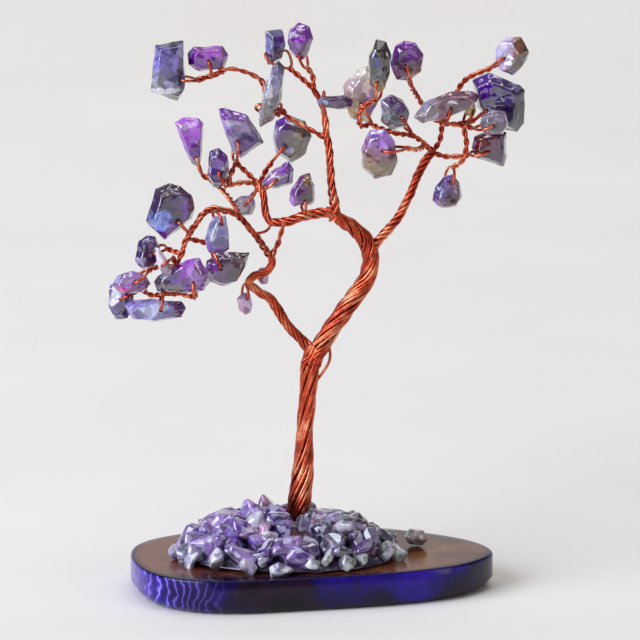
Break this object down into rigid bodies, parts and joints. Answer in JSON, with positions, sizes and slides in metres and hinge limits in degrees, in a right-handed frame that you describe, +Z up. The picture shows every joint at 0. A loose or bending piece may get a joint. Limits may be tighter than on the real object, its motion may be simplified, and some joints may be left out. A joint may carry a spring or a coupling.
{
  "type": "wire gem tree ornament",
  "caption": "Table ornament: a twisted copper wire tree with drilled violet stone chips for leaves, its foot in a bed of small chips on a polished stone slice",
  "frame": {"origin": "Centre of the flat underside of the stone slice", "axes": "+Z up the trunk, -Y towards the front of the tree, +X to the right seen from the front"},
  "size_m": [0.0698, 0.0373, 0.0964],
  "materials": {
    "dyed_slice": "polished dyed agate slice, cut and polished by machine, opaque",
    "clear_glue": "clear epoxy glue set between the bed stones",
    "bed_stone": "small tumbled quartz and amethyst chips",
    "stone_violet": "tumbled amethyst chip, polished",
    "stone_smoky": "tumbled smoky amethyst chip, polished",
    "stone_pale": "tumbled pale quartz chip, polished",
    "copper_wire": "enamelled soft copper wire, twisted by hand"
  },
  "bodies": {
    "tree": {"base_slice": "dyed_slice", "glue_bed": "clear_glue", "root_wires": "copper_wire", "bed_chips_rim": "bed_stone", "bed_chips_lower": "bed_stone", "bed_chips_upper": "bed_stone", "bed_chips_crown": "bed_stone", "bed_chip_loose": "bed_stone", "trunk": "copper_wire", "trunk_loop": "copper_wire", "branch_left_lower": "copper_wire", "branch_left_arm": "copper_wire", "branch_left_riser": "copper_wire", "branch_right_lower": "copper_wire", "branch_right_arch": "copper_wire", "branch_upper_left": "copper_wire", "branch_top": "copper_wire", "branch_right_side": "copper_wire", "branch_far_left": "copper_wire", "twigs_left": "copper_wire", "twigs_middle": "copper_wire", "twigs_top": "copper_wire", "twigs_right": "copper_wire", "loose_leaf_pins": "copper_wire", "leaf_far_left_flat": "stone_violet", "leaf_top_grey": "stone_smoky", "leaf_top_long": "stone_smoky", "leaf_top_bar": "stone_violet", "leaf_pale_quartz": "stone_pale", "leaf_dark_oval": "stone_violet", "leaf_smoky": "stone_smoky", "leaf_two_tone": "stone_smoky", "leaf_right_block": "stone_violet", "leaf_right_long": "stone_smoky", "leaf_right_grey": "stone_smoky", "leaf_right_plum": "stone_violet", "leaf_right_sliver": "stone_pale", "leaf_dark_middle": "stone_violet", "leaf_kite": "stone_violet", "leaf_olive": "stone_smoky", "leaf_triangle": "stone_violet", "leaf_milky": "stone_pale", "leaf_left_hood": "stone_violet", "leaf_left_dark": "stone_violet", "leaf_left_point": "stone_pale", "leaf_left_pink": "stone_pale", "leaf_left_white": "stone_pale", "leaf_left_boat": "stone_violet", "leaf_left_lilac": "stone_violet", "leaf_left_mauve": "stone_smoky", "leaf_left_bud": "stone_pale"},
    "swing_far_left_tall": {"leaf_far_left_tall": "stone_violet"},
    "swing_top_round": {"leaf_top_round": "stone_violet"},
    "swing_disc": {"leaf_disc": "stone_violet"},
    "swing_right_drop": {"leaf_right_drop": "stone_violet"},
    "swing_right_tip": {"leaf_right_tip": "stone_smoky"},
    "swing_wedge": {"leaf_wedge": "stone_violet"},
    "swing_arch": {"leaf_arch": "stone_violet"},
    "swing_left_blue": {"leaf_left_blue": "stone_smoky"},
    "swing_left_drop": {"leaf_left_drop": "stone_pale"}
  },
  "joints": [
    {"name": "far_left_tall_swing", "type": "hinge", "parent": "tree", "child": "swing_far_left_tall", "pos_m": [-0.0221, 0.00295, 0.0866], "axis": [-0.342, 0.9397, 0], "range_deg": [-12, 5]},
    {"name": "top_round_swing", "type": "hinge", "parent": "tree", "child": "swing_top_round", "pos_m": [-0.0016, 0.00037, 0.0914], "axis": [0.1736, 0.9848, 0], "range_deg": [-12, 12]},
    {"name": "disc_swing", "type": "hinge", "parent": "tree", "child": "swing_disc", "pos_m": [0.01541, -0.00147, 0.0898], "axis": [-0.1736, 0.9848, 0], "range_deg": [-12, 12]},
    {"name": "right_drop_swing", "type": "hinge", "parent": "tree", "child": "swing_right_drop", "pos_m": [0.02289, 0.00205, 0.0693], "axis": [-0.2588, 0.9659, 0], "range_deg": [-12, 12]},
    {"name": "right_tip_swing", "type": "hinge", "parent": "tree", "child": "swing_right_tip", "pos_m": [0.03301, 0.00234, 0.0903], "axis": [0.5736, 0.8192, 0], "range_deg": [-12, 12]},
    {"name": "wedge_swing", "type": "hinge", "parent": "tree", "child": "swing_wedge", "pos_m": [-0.01931, 0.00576, 0.0728], "axis": [-0.1736, 0.9848, 0], "range_deg": [-12, 12]},
    {"name": "arch_swing", "type": "hinge", "parent": "tree", "child": "swing_arch", "pos_m": [-0.0013, 0.00062, 0.0665], "axis": [-0.2079, 0.9781, 0], "range_deg": [-12, 12]},
    {"name": "left_blue_swing", "type": "hinge", "parent": "tree", "child": "swing_left_blue", "pos_m": [-0.01521, -0.00873, 0.0646], "axis": [-0.342, 0.9397, 0], "range_deg": [-12, 12]},
    {"name": "left_drop_swing", "type": "hinge", "parent": "tree", "child": "swing_left_drop", "pos_m": [-0.01091, -0.00237, 0.0505], "axis": [-0.342, 0.9397, 0], "range_deg": [-12, 12]}
  ]
}
